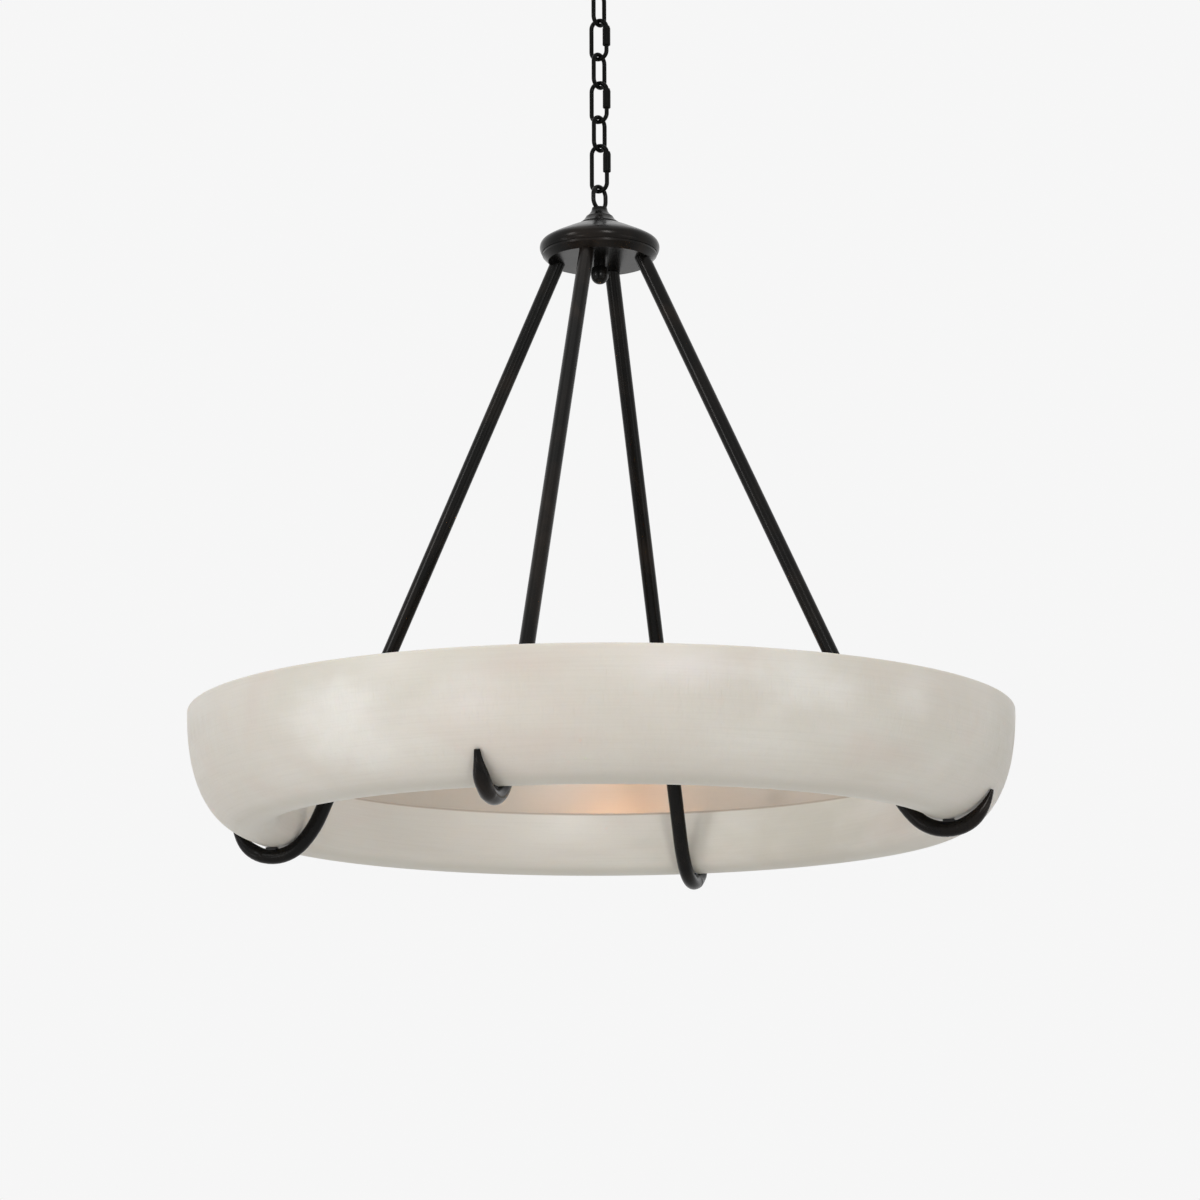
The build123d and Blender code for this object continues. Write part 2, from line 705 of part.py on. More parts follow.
# Knob finial that screws on the stem's lower end
knob_shoulder = (FINIAL_SHOULDER_R, PLATE_FACE - FINIAL_SHOULDER_DROP)
with BuildPart() as finial:
    with BuildSketch(Plane.XZ):
        with BuildLine():
            Polyline(
                (0, knob_z - FINIAL_R),
                (0, knob_z - STEM_END_GAP),
                (cover_bore, knob_z - STEM_END_GAP),
                (cover_bore, PLATE_FACE),
                (FINIAL_NECK_R, PLATE_FACE),
                (FINIAL_NECK_R, PLATE_FACE - FINIAL_NECK),
                knob_shoulder,
            )
            TangentArc((FINIAL_R, knob_z), knob_shoulder, tangent=(0, 1))
            TangentArc((FINIAL_R, knob_z), (0, knob_z - FINIAL_R), tangent=(0, -1))
        make_face()
    revolve(axis=Axis.Z)

# One arm along +X: tube, hook and claw, with its bore and outlet
with BuildPart() as arm_master:
    add(arm_rod(BAR_R))
    add(claw())
    add(tube_bore(), mode=Mode.SUBTRACT)

# Bushes in the wire outlets
with BuildPart() as wire_bushes:
    for quarter in QUARTERS:
        add(outlet_bush(), rotation=(0, 0, quarter))

# Rest pads: flat under the stone, hollowed over the hook
with BuildPart() as pad_master:
    with BuildSketch(Plane.XY.offset(FOOT_Z - SEAT_GAP - PAD_BLOCK)):
        with Locations((RING_FOOT_R + PAD_OUT, 0)):
            Rectangle(PAD_LENGTH, PAD_WIDTH)
    extrude(amount=PAD_BLOCK)
    add(arm_rod(BAR_R + SEAT_GAP), mode=Mode.SUBTRACT)
with BuildPart() as rest_pads:
    pad_top = pad_master.part.solids().sort_by(Axis.Z)[-1]
    for quarter in QUARTERS:
        add(pad_top, rotation=(0, 0, quarter))

# Alabaster ring, turned from one block: outer bowl, trough and inner wall
with BuildPart() as alabaster_ring:
    ring_foot = (RING_FOOT_R, FOOT_Z)
    trough_r = RING_FOOT_R + TROUGH_OUT
    trough = (trough_r, TROUGH_Z)
    rim_out = (RIM_R, RIM_Z)
    rim_in = (RIM_R - WALL, RIM_Z)
    lip_out = (INNER_RIM_R, RIM_Z + INNER_RIM_H)
    lip_in = (INNER_RIM_R + WALL, RIM_Z + INNER_RIM_H)
    bowl_pulls = ((RIM_R - SIDE_LEAN, FOOT_Z + SIDE_RISE), (RING_FOOT_R + FOOT_OUT_PULL, FOOT_Z))
    inner_pulls = ((RING_FOOT_R - FOOT_IN_PULL, FOOT_Z), (INNER_RIM_R - INNER_LEAN, FOOT_Z + INNER_RISE))
    lip_pulls = ((lip_in[0], TROUGH_Z + TROUGH_IN_RISE), (trough_r - TROUGH_IN_PULL, TROUGH_Z))
    trough_pulls = ((trough_r + TROUGH_OUT_PULL, TROUGH_Z), (rim_in[0] - TROUGH_LEAN, TROUGH_Z + SIDE_RISE))
    with BuildSketch(Plane.XZ) as ring_section:
        with BuildLine():
            Bezier(rim_out, *bowl_pulls, ring_foot)
            Bezier(ring_foot, *inner_pulls, lip_out)
            Line(lip_out, lip_in)
            trough_inside = Bezier(lip_in, *lip_pulls, trough)
            trough_outside = Bezier(trough, *trough_pulls, rim_in)
            Line(rim_in, rim_out)
        make_face()
        lips = ring_section.vertices().filter_by(lambda v: v.Z > RIM_Z + INNER_RIM_H - 1)
        fillet(lips, LIP_ROUND)
    revolve(axis=Axis.Z)

# Lamp carrier, a flat hoop whose edges rest on the trough's curves
carrier_in = CARRIER_MID_R - CARRIER_WIDTH / 2
carrier_out = CARRIER_MID_R + CARRIER_WIDTH / 2
carrier_seat = max(height_at(trough_inside, carrier_in), height_at(trough_outside, carrier_out))
carrier_base = carrier_seat + CARRIER_GAP
carrier_top = carrier_base + CARRIER_THICK
lamp_z = carrier_top + LAMP_RISE
foot_x = HOLDER_FACE + HOLDER_LENGTH + HOLDER_FOOT / 2
screw_spots = ((foot_x, -SCREW_HALF_SPACING), (foot_x, SCREW_HALF_SPACING))
with BuildPart() as lamp_carrier:
    with BuildSketch(Plane.XY.offset(carrier_base)):
        Circle(carrier_out)
        Circle(carrier_in, mode=Mode.SUBTRACT)
    extrude(amount=CARRIER_THICK)
    for quarter in QUARTERS:
        with BuildSketch(lamp_plane(quarter, carrier_base)):
            with Locations(*screw_spots):
                Circle(SCREW_R + RUNNING)
        extrude(amount=CARRIER_THICK, mode=Mode.SUBTRACT)

# Lampholders, lamps and holder screws, once per quarter
lampholders = []
lamps = []
screw_sets = []
for quarter in QUARTERS:
    deck = lamp_plane(quarter, carrier_top)
    face = lamp_cross(quarter, lamp_z, HOLDER_FACE)
    with BuildPart() as lampholder:
        with BuildSketch(deck):
            with Locations((HOLDER_FACE + HOLDER_LENGTH / 2, 0)):
                RectangleRounded(HOLDER_LENGTH, HOLDER_WIDTH, HOLDER_ROUND)
        extrude(amount=HOLDER_HEIGHT)
        with BuildSketch(deck):
            with Locations((foot_x - HOLDER_FOOT_LAP / 2, 0)):
                Rectangle(HOLDER_FOOT + HOLDER_FOOT_LAP, HOLDER_WIDTH)
        extrude(amount=HOLDER_FOOT_THICK)
        with BuildSketch(deck):
            with Locations(*screw_spots):
                Circle(SCREW_R + RUNNING)
        extrude(amount=HOLDER_FOOT_THICK, mode=Mode.SUBTRACT)
        with BuildSketch(face):
            RectangleRounded(
                LAMP_BASE_WIDTH + 2 * SOCKET_GAP,
                LAMP_BASE_HEIGHT + 2 * SOCKET_GAP,
                SOCKET_ROUND,
            )
        extrude(amount=LAMP_BASE_DEPTH, mode=Mode.SUBTRACT)
        with BuildSketch(face):
            with Locations((-PIN_HALF_SPACING, 0), (PIN_HALF_SPACING, 0)):
                Circle(PIN_R + RUNNING)
        extrude(amount=LAMP_BASE_DEPTH + PIN_LENGTH + PIN_END_GAP, mode=Mode.SUBTRACT)
    lampholders.append(lampholder.part)
    shoulder = lamp_cross(quarter, lamp_z, HOLDER_FACE - LAMP_SHOULDER)
    with BuildPart() as lamp:
        with BuildSketch(shoulder):
            RectangleRounded(LAMP_BASE_WIDTH, LAMP_BASE_HEIGHT, LAMP_BASE_ROUND)
        extrude(amount=LAMP_SHOULDER + LAMP_BASE_DEPTH - SEAT_GAP)
        with BuildSketch(shoulder.offset(LAMP_BASE_DEPTH)):
            with Locations((-PIN_HALF_SPACING, 0), (PIN_HALF_SPACING, 0)):
                Circle(PIN_R)
        extrude(amount=LAMP_SHOULDER + PIN_LENGTH)
        with BuildSketch(shoulder):
            Circle(LAMP_R)
        extrude(amount=-LAMP_LENGTH)
        dome_end = lamp.faces().filter_by(GeomType.PLANE).sort_by(deck.location.x_axis)[0]
        fillet(dome_end.edges(), LAMP_DOME)
    lamps.append(lamp.part)
    with BuildPart() as screws:
        with BuildSketch(deck.offset(-CARRIER_THICK)):
            with Locations(*screw_spots):
                Circle(SCREW_R)
        extrude(amount=CARRIER_THICK + HOLDER_FOOT_THICK)
        with BuildSketch(deck.offset(HOLDER_FOOT_THICK)):
            with Locations(*screw_spots):
                Circle(SCREW_HEAD_R)
        extrude(amount=SCREW_HEAD)
    screw_sets.append(screws.part)
with BuildPart() as holder_screws:
    for screw_set in screw_sets:
        add(screw_set)

# Names and files
nodes = {
    "crossbar": crossbar.part,
    "ceiling_stem": ceiling_stem.part,
    "stem_nut": stem_nut.part,
    "ceiling_eye": ceiling_eye.part,
    "screw_collar": screw_collar.part,
    "canopy": canopy.part,
    "hub_eye": hub_eye.part,
    "hub_cap": hub_cap.part,
    "hub_cover": hub_cover.part,
    "hub_plate": hub_plate.part,
    "hub_stem": hub_stem.part,
    "hub_nut": hub_nut.part,
    "arm_grub_screws": arm_grub_screws.part,
    "finial": finial.part,
    "wire_bushes": wire_bushes.part,
    "rest_pads": rest_pads.part,
    "alabaster_ring": alabaster_ring.part,
    "lamp_carrier": lamp_carrier.part,
    "holder_screws": holder_screws.part,
}
for index, side in enumerate(("right", "back", "left", "front")):
    nodes["arm_" + side] = arm_master.part.rotate(Axis.Z, QUARTERS[index])
for index in range(3):
    nodes["chain_link_" + str(index + 1)] = chain_links[index]
for index in range(4):
    number = str(index + 1)
    nodes["lock_link_" + number] = lock_links[index]
    nodes["lock_sleeve_" + number] = lock_sleeves[index]
    nodes["lampholder_" + number] = lampholders[index]
    nodes["lamp_" + number] = lamps[index]
for node, shape in nodes.items():
    shape.label = node
    export_step(shape, "parts/" + node + ".step")
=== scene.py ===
"""Looks of the alabaster ring pendant: finishes, small repeated details, lamps and studio."""

import json
import logging
import math
from dataclasses import dataclass, field
from enum import Enum
from typing import Any, Union

import bpy
from mathutils import Euler, Matrix, Vector

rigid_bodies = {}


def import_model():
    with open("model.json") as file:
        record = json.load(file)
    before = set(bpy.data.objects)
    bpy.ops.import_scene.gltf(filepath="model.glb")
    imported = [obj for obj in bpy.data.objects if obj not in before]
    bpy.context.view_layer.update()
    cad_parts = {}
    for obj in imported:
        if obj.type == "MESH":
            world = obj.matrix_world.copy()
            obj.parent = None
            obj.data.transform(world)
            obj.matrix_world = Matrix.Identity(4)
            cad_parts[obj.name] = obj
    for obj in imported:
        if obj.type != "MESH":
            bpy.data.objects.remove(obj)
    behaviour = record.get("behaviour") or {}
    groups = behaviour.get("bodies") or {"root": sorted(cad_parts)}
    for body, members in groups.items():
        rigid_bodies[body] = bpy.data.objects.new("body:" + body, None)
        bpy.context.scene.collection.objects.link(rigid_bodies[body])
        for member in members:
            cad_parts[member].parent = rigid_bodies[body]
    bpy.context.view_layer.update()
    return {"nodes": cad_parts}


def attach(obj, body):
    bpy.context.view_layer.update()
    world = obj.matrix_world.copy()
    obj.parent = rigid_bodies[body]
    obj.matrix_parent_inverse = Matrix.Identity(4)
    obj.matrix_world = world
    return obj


log = logging.getLogger("pendant")

MM = 0.001
RIM_Z = -960.0 * MM
INNER_RIM_Z = RIM_Z - 60.0 * MM
CARRIER_BASE = -112.6
CARRIER_THICK = 1.5
LAMP_RISE = 9.2
LAMP_Z = RIM_Z + (CARRIER_BASE + CARRIER_THICK + LAMP_RISE) * MM
LAMP_TURN = 12.0
LAMP_RING_R = 390.0 * MM
QUARTERS = (0, 90, 180, 270)

Triple = tuple[float, float, float]
Rgb = Triple
Edge = tuple[float, float]
Value = Union[float, "Wire"]


def linear(red: int, green: int, blue: int) -> Rgb:
    """Screen colour from 0 to 255 as linear light.

    Args:
        red: screen red.
        green: screen green.
        blue: screen blue.

    Returns:
        Linear red, green and blue from 0 to 1.
    """
    def channel(level: int) -> float:
        """One channel of the standard screen curve."""
        share = level / 255
        return share / 12.92 if share <= 0.04045 else ((share + 0.055) / 1.055) ** 2.4

    return channel(red), channel(green), channel(blue)


def even(size: float) -> Triple:
    """The same value on all three axes."""
    return size, size, size


class Wire:
    """A node's output that can be used in arithmetic; each operation adds a Math node."""

    def __init__(self, graph: "Graph", socket: bpy.types.NodeSocket) -> None:
        """Wraps a socket of a graph's tree."""
        self.graph = graph
        self.socket = socket

    def _calc(self, operation: str, first: Value, second: Value = 0.0) -> "Wire":
        """Adds one Math node.

        Args:
            operation: the Math node's operation.
            first: left-hand value.
            second: right-hand value.

        Returns:
            The node's result.
        """
        return self.graph.node("ShaderNodeMath", {0: first, 1: second}, operation=operation)

    def __add__(self, other: Value) -> "Wire":
        """Sum."""
        return self._calc("ADD", self, other)

    def __radd__(self, other: Value) -> "Wire":
        """Sum with a number on the left."""
        return self._calc("ADD", other, self)

    def __sub__(self, other: Value) -> "Wire":
        """Difference."""
        return self._calc("SUBTRACT", self, other)

    def __rsub__(self, other: Value) -> "Wire":
        """Difference with a number on the left."""
        return self._calc("SUBTRACT", other, self)

    def __mul__(self, other: Value) -> "Wire":
        """Product."""
        return self._calc("MULTIPLY", self, other)

    def __rtruediv__(self, other: Value) -> "Wire":
        """Quotient with a number on the left."""
        return self._calc("DIVIDE", other, self)

    def __pow__(self, other: Value) -> "Wire":
        """Power."""
        return self._calc("POWER", self, other)

    def __abs__(self) -> "Wire":
        """Size without sign."""
        return self._calc("ABSOLUTE", self)

    def above(self, edge: float, soft: float) -> "Wire":
        """Soft step.

        Args:
            edge: value at the middle of the step.
            soft: width of the step.

        Returns:
            0 below the edge and 1 above it.
        """
        return self.graph.node(
            "ShaderNodeMapRange",
            {0: self, 1: edge - soft / 2, 2: edge + soft / 2, 3: 0.0, 4: 1.0},
            interpolation_type="SMOOTHSTEP",
        )

    def swing(self, width: float) -> "Wire":
        """Noise from 0 to 1 as a swing about 0.

        Args:
            width: full width of the swing.

        Returns:
            A value from minus to plus half the width.
        """
        return (self - 0.5) * width


class Graph:
    """Node tree that is built by calls."""

    def __init__(self, tree: bpy.types.NodeTree) -> None:
        """Takes the tree that the calls fill."""
        self.tree = tree

    def node(
        self,
        kind: str,
        inputs: dict[Any, Any] | None = None,
        out: Any = 0,
        **settings: Any,
    ) -> Wire:
        """Adds any node.

        Args:
            kind: node type.
            inputs: socket name or number to a value or a Wire; a colour has three values.
            out: name or number of the output returned.
            **settings: node properties, set before its sockets.

        Returns:
            The chosen output.
        """
        node = self.tree.nodes.new(kind)
        for key, value in settings.items():
            setattr(node, key, value)
        for key, value in (inputs or {}).items():
            socket = node.inputs[key]
            if isinstance(value, Wire):
                self.tree.links.new(value.socket, socket)
            else:
                socket.default_value = (*value, 1.0) if socket.type == "RGBA" else value
        return Wire(self, node.outputs[out])


@dataclass(frozen=True)
class Wash:
    """A tone and how strongly it covers the colour below it."""

    tone: Rgb
    share: float


@dataclass(frozen=True)
class Drift(Wash):
    """A wash that follows noise; its sway is how far the noise moves the roughness."""

    scale: Triple
    edge: Edge
    detail: float = 3.0
    rough: float = 0.5
    warp: float = 0.0
    sway: float = 0.0


@dataclass(frozen=True)
class Cloud(Wash):
    """One larger cloud laid on the stone round a given point, in millimetres; some are the stone's own
    clouding, the pale ones painted highlights and the olive ones painted shade.
    """

    centre: Triple
    reach: Triple
    ragged: float = 1.5
    edge: Edge = (0.62, 1.2)


class Shader(Graph):
    """Node tree of one material."""

    def __init__(self, name: str) -> None:
        """Makes an empty material with its output node."""
        self.material = bpy.data.materials.new(name)
        self.material.use_nodes = True
        super().__init__(self.material.node_tree)
        self.tree.nodes.clear()
        self.output = self.tree.nodes.new("ShaderNodeOutputMaterial")

    def place(self, scale: Triple, shift: Triple = (0.0, 0.0, 0.0)) -> Wire:
        """Object coordinates through a Mapping node.

        Args:
            scale: pattern repeats per metre along each axis.
            shift: added after scaling.

        Returns:
            The mapped vector.
        """
        spot = self.node("ShaderNodeTexCoord", out="Object")
        return self.node("ShaderNodeMapping", {"Vector": spot, "Scale": scale, "Location": shift})

    def noise(self, scale: Triple, detail: float = 3.0, rough: float = 0.5, warp: float = 0.0) -> Wire:
        """Noise over object coordinates.

        Args:
            scale: repeats per metre along each axis.
            detail: octaves.
            rough: weight of fine octaves.
            warp: distortion.

        Returns:
            Noise from 0 to 1.
        """
        return self.node(
            "ShaderNodeTexNoise",
            {"Vector": self.place(scale), "Scale": 1.0, "Detail": detail, "Roughness": rough,
             "Distortion": warp},
        )

    def axis(self, number: int) -> Wire:
        """One object coordinate.

        Args:
            number: 0 for X, 1 for Y and 2 for Z.

        Returns:
            The coordinate in metres.
        """
        spot = self.node("ShaderNodeTexCoord", out="Object")
        return self.node("ShaderNodeSeparateXYZ", {0: spot}, out=number)

    def radius(self) -> Wire:
        """Distance from the lamp's axis."""
        east, north = self.axis(0), self.axis(1)
        return (east * east + north * north) ** 0.5

    def blend(self, share: Value, first: Any, second: Any) -> Wire:
        """Mix of two colours.

        Args:
            share: 0 gives the first colour and 1 the second.
            first: colour or Wire.
            second: colour or Wire.

        Returns:
            The mixed colour.
        """
        return self.node("ShaderNodeMix", {0: share, 6: first, 7: second}, out=2, data_type="RGBA")

    def wash(self, below: Any, mask: Wire, wash: Wash) -> Wire:
        """Lays a wash over a colour where a mask lets it.

        Args:
            below: colour or Wire.
            mask: 0 to 1.
            wash: its tone and share.

        Returns:
            The new colour.
        """
        return self.blend(mask * wash.share, below, wash.tone)

    def drift(self, below: Any, drift: Drift) -> tuple[Wire, Wire]:
        """Lays a drift over a colour.

        Args:
            below: colour or Wire.
            drift: its noise, tone and share.

        Returns:
            The new colour, and the noise from 0 to 1.
        """
        noise = self.noise(drift.scale, drift.detail, drift.rough, drift.warp)
        return self.wash(below, noise.above(*drift.edge), drift), noise

    def cloud(self, below: Any, cloud: Cloud, ragged: Wire) -> Wire:
        """Lays a soft cloud over a colour, round its own point.

        Args:
            below: colour or Wire.
            cloud: its place, tone and share.
            ragged: noise that breaks up its edge.

        Returns:
            The new colour.
        """
        scale = tuple(1 / (size * MM) for size in cloud.reach)
        shift = tuple(-place / size for place, size in zip(cloud.centre, cloud.reach))
        away = self.node(
            "ShaderNodeVectorMath", {0: self.place(scale, shift)}, out=1, operation="LENGTH")
        return self.wash(below, 1 - (away + ragged.swing(cloud.ragged)).above(*cloud.edge), cloud)

    def bump(self, height: Wire, depth: float, strength: float) -> Wire:
        """Bump normal.

        Args:
            height: pattern from 0 to 1.
            depth: its full depth in metres.
            strength: 0 to 1.

        Returns:
            The normal.
        """
        return self.node("ShaderNodeBump", {"Height": height, "Distance": depth, "Strength": strength})

    def close(self, shaded: Wire) -> bpy.types.Material:
        """Ends the tree.

        Args:
            shaded: a shader's output.

        Returns:
            The finished material.
        """
        self.tree.links.new(shaded.socket, self.output.inputs["Surface"])
        return self.material

    def surface(self, **sockets: Any) -> bpy.types.Material:
        """Ends the tree with a Principled shader.

        Args:
            **sockets: Principled sockets, with underscores for spaces.

        Returns:
            The finished material.
        """
        plain = {key.replace("_", " "): value for key, value in sockets.items()}
        return self.close(self.node("ShaderNodeBsdfPrincipled", plain))


# Cloud tones: pale is a painted highlight and olive a painted shade.
PALE_HIGHLIGHT = linear(238, 236, 231)
LILAC = linear(230, 225, 221)
BLUSH = linear(214, 202, 192)
OLIVE_SHADE = linear(203, 198, 186)

# The pale clouds paint the soft boxes' highlights on the outer wall; the olive ones paint shade at the
# right edge and on the far inner wall.
CLOUDS = (
    Cloud(PALE_HIGHLIGHT, 0.68, (-152.0, -428.0, -1003.0), (72.0, 72.0, 40.0)),
    Cloud(PALE_HIGHLIGHT, 0.45, (-120.0, -420.0, -1052.0), (90.0, 90.0, 26.0)),
    Cloud(LILAC, 0.5, (-5.0, -453.0, -1010.0), (44.0, 44.0, 34.0)),
    Cloud(LILAC, 0.65, (203.0, -408.0, -986.0), (62.0, 62.0, 30.0)),
    Cloud(PALE_HIGHLIGHT, 0.62, (313.0, -331.0, -993.0), (72.0, 72.0, 36.0)),
    Cloud(PALE_HIGHLIGHT, 0.4, (400.0, -218.0, -990.0), (40.0, 40.0, 30.0)),
    Cloud(PALE_HIGHLIGHT, 0.3, (272.0, -343.0, -1050.0), (80.0, 80.0, 26.0)),
    Cloud(BLUSH, 0.5, (60.0, -450.0, -980.0), (70.0, 70.0, 24.0)),
    Cloud(BLUSH, 0.35, (79.0, -431.0, -1055.0), (80.0, 80.0, 16.0)),
    Cloud(BLUSH, 0.5, (374.0, -230.0, -1052.0), (66.0, 66.0, 24.0)),
    Cloud(OLIVE_SHADE, 0.6, (456.0, 10.0, -1000.0), (60.0, 90.0, 80.0)),
    Cloud(OLIVE_SHADE, 0.8, (170.0, 310.0, -1060.0), (190.0, 120.0, 80.0)),
)


@dataclass(frozen=True)
class RingForm:
    """Where the ring's shading changes; each edge has a middle and a width, in metres.

    Drops are heights from the outer rim, and trough_draw is how fast the trough's outer wall
    draws in with the square of its drop.
    """

    trough_outer: Edge = (449.2 * MM, 3.0 * MM)
    trough_draw: float = 2.25
    trough_inner: Edge = (400.0 * MM, 20.0 * MM)
    trough_floor: Edge = (-112.0 * MM, 4.0 * MM)
    foot: Edge = (-125.0 * MM, 9.0 * MM)
    lip_z: float = INNER_RIM_Z - 0.4 * MM
    lip_half: Edge = (2.2 * MM, 2.0 * MM)
    lip_outer: Edge = (372.0 * MM, 3.0 * MM)

    def inside(self, shader: Shader) -> Wire:
        """Mask of the trough, where its shade is painted.

        Args:
            shader: tree that the nodes go into.

        Returns:
            1 in the trough and 0 elsewhere.
        """
        reach, drop = shader.radius(), shader.axis(2) - RIM_Z
        within = 1 - (reach + drop * drop * self.trough_draw).above(*self.trough_outer)
        return within * reach.above(*self.trough_inner) * drop.above(*self.trough_floor)

    def foot_shade(self, shader: Shader) -> Wire:
        """Mask of the foot's lower face, where its shade is painted.

        Args:
            shader: tree that the nodes go into.

        Returns:
            1 below the foot's edge and 0 above it.
        """
        return 1 - (shader.axis(2) - RIM_Z).above(*self.foot)

    def lip(self, shader: Shader) -> Wire:
        """Mask of the thin line round the inner wall's lip.

        Args:
            shader: tree that the nodes go into.

        Returns:
            1 on the line and 0 elsewhere.
        """
        level = 1 - abs(shader.axis(2) - self.lip_z).above(*self.lip_half)
        return level * (1 - shader.radius().above(*self.lip_outer))


@dataclass(frozen=True)
class Alabaster:
    """Honed alabaster: cloudy, finely banded by turning, a little translucent."""

    body: Rgb = linear(221, 216, 207)
    haze: Drift = Drift(
        linear(210, 203, 192), 0.45, (3.0, 3.0, 5.0), (0.5, 0.4), detail=4.0, warp=0.8, sway=0.08)
    pale: Drift = Drift(
        linear(229, 226, 220), 0.35, (4.6, 4.6, 9.0), (0.6, 0.26), rough=0.45, warp=0.6)
    blush: Drift = Drift(linear(217, 204, 194), 0.3, (6.5, 6.5, 11.0), (0.58, 0.24), warp=1.2)
    moss: Drift = Drift(linear(209, 208, 195), 0.3, (4.4, 4.0, 9.0), (0.6, 0.24), warp=1.1)
    bands: Drift = Drift(
        linear(190, 182, 169), 0.07, (12.0, 12.0, 560.0), (0.58, 0.22), rough=0.55, warp=0.1,
        sway=0.06)
    light_bands: Wash = Wash(linear(234, 230, 222), 0.06)
    light_edge: Edge = (0.4, 0.2)
    grain: Drift = Drift(linear(196, 188, 175), 0.06, even(420.0), (0.62, 0.2), detail=2.0)
    grain_relief: float = 0.3
    ragged: Triple = (13.0, 13.0, 22.0)
    ragged_warp: float = 0.5
    # painted shade: a darker, warmer colour over the trough's walls and floor
    inside: Wash = Wash(linear(196, 184, 170), 0.65)
    # painted shade: the olive shade tone laid under the foot
    foot_shade: Wash = Wash(OLIVE_SHADE, 0.6)
    lip_line: Wash = Wash(linear(128, 96, 66), 0.55)
    roughness: float = 0.4
    form: RingForm = RingForm()

    def material(self) -> bpy.types.Material:
        """Builds the stone's material."""
        shader = Shader("alabaster")
        colour, haze = shader.drift(self.body, self.haze)
        for drift in (self.pale, self.blush, self.moss):
            colour, _ = shader.drift(colour, drift)
        ragged = shader.noise(self.ragged, warp=self.ragged_warp)
        # pale clouds are painted highlights, olive clouds painted shade
        for cloud in CLOUDS:
            colour = shader.cloud(colour, cloud, ragged)
        colour, bands = shader.drift(colour, self.bands)
        colour = shader.wash(colour, 1 - bands.above(*self.light_edge), self.light_bands)
        colour, grain = shader.drift(colour, self.grain)
        # painted shade: the trough's walls and floor are darkened
        colour = shader.wash(colour, self.form.inside(shader), self.inside)
        # painted shade: the foot's lower face is darkened
        colour = shader.wash(colour, self.form.foot_shade(shader), self.foot_shade)
        colour = shader.wash(colour, self.form.lip(shader), self.lip_line)
        rough = self.roughness + haze.above(*self.haze.edge).swing(self.haze.sway)
        tooling = bands * (1 - self.grain_relief) + grain * self.grain_relief
        return shader.surface(
            Base_Color=colour,
            Roughness=rough + bands.swing(self.bands.sway),
            Normal=shader.bump(tooling, depth=0.05 * MM, strength=0.35),
            IOR=1.53,
            Subsurface_Weight=0.22,
            Subsurface_Radius=(1.0, 0.72, 0.45),
            Subsurface_Scale=0.012,
            Specular_IOR_Level=0.42,
        )


@dataclass(frozen=True)
class BronzePaint:
    """Hand-rubbed dark bronze paint over steel."""

    name: str = "dark_bronze"
    ground: Rgb = linear(15, 14, 13)
    worn: Rgb = linear(46, 38, 32)
    roughness: float = 0.24
    metallic: float = 0.3
    gloss: float = 0.17
    mottle: Drift = Drift(
        linear(11, 12, 11), 0.5, even(38.0), (0.5, 0.5), detail=5.0, rough=0.6, warp=0.6, sway=0.14)
    speck: Drift = Drift(
        linear(50, 46, 40), 0.3, even(650.0), (0.66, 0.14), rough=0.6, sway=0.06)
    speck_relief: float = 0.6

    def material(self) -> bpy.types.Material:
        """Builds the paint's material."""
        shader = Shader(self.name)
        rub = Drift(
            self.worn, 0.45, (14.0, 14.0, 9.0), (0.58, 0.24), detail=4.0, rough=0.55, warp=0.8)
        colour, mottle = shader.drift(self.ground, self.mottle)
        colour, _ = shader.drift(colour, rub)
        colour, speck = shader.drift(colour, self.speck)
        peel = speck * self.speck_relief + mottle * (1 - self.speck_relief)
        return shader.surface(
            Base_Color=colour,
            Metallic=self.metallic,
            Roughness=self.roughness + mottle.swing(self.mottle.sway) + speck.swing(self.speck.sway),
            Normal=shader.bump(peel, depth=0.05 * MM, strength=0.4),
            Specular_IOR_Level=self.gloss,
        )


class Sheen(Enum):
    """How a plated surface was left, with its roughness."""

    SATIN = 0.36
    BRIGHT = 0.22


@dataclass(frozen=True)
class PlatedSteel:
    """Zinc plated or raw steel of hidden hardware."""

    name: str
    sheen: Sheen = Sheen.SATIN
    tone: Rgb = linear(186, 186, 180)
    bloom: Drift = Drift(
        linear(160, 160, 156), 0.5, even(55.0), (0.52, 0.4), detail=4.0, rough=0.55, warp=0.7,
        sway=0.1)
    drawn: Drift = Drift(
        linear(206, 207, 204), 0.25, (260.0, 260.0, 30.0), (0.6, 0.2), detail=4.0, rough=0.6,
        sway=0.16)

    def material(self) -> bpy.types.Material:
        """Builds the plating's material."""
        shader = Shader(self.name)
        colour, bloom = shader.drift(self.tone, self.bloom)
        colour, drawn = shader.drift(colour, self.drawn)
        rough = self.sheen.value + drawn.swing(self.drawn.sway) + bloom.swing(self.bloom.sway)
        return shader.surface(
            Base_Color=colour,
            Metallic=1.0,
            Roughness=rough,
            Normal=shader.bump(drawn, depth=0.02 * MM, strength=0.4),
        )


@dataclass(frozen=True)
class Moulded:
    """Plain moulded, fired or sprayed stuff in one colour."""

    name: str
    tone: Rgb
    shade: Rgb
    roughness: float = 0.55
    grain: float = 300.0
    coat: float = 0.0

    def material(self) -> bpy.types.Material:
        """Builds the material."""
        shader = Shader(self.name)
        broad = Drift(
            self.shade, 0.6, even(24.0), (0.52, 0.45), detail=4.0, rough=0.55, warp=0.5)
        fine = Drift(self.shade, 0.3, even(self.grain), (0.6, 0.2), rough=0.6, sway=0.14)
        colour, _ = shader.drift(self.tone, broad)
        colour, grain = shader.drift(colour, fine)
        return shader.surface(
            Base_Color=colour,
            Roughness=self.roughness + grain.swing(fine.sway),
            Normal=shader.bump(grain, depth=0.03 * MM, strength=0.4),
            Coat_Weight=self.coat,
        )


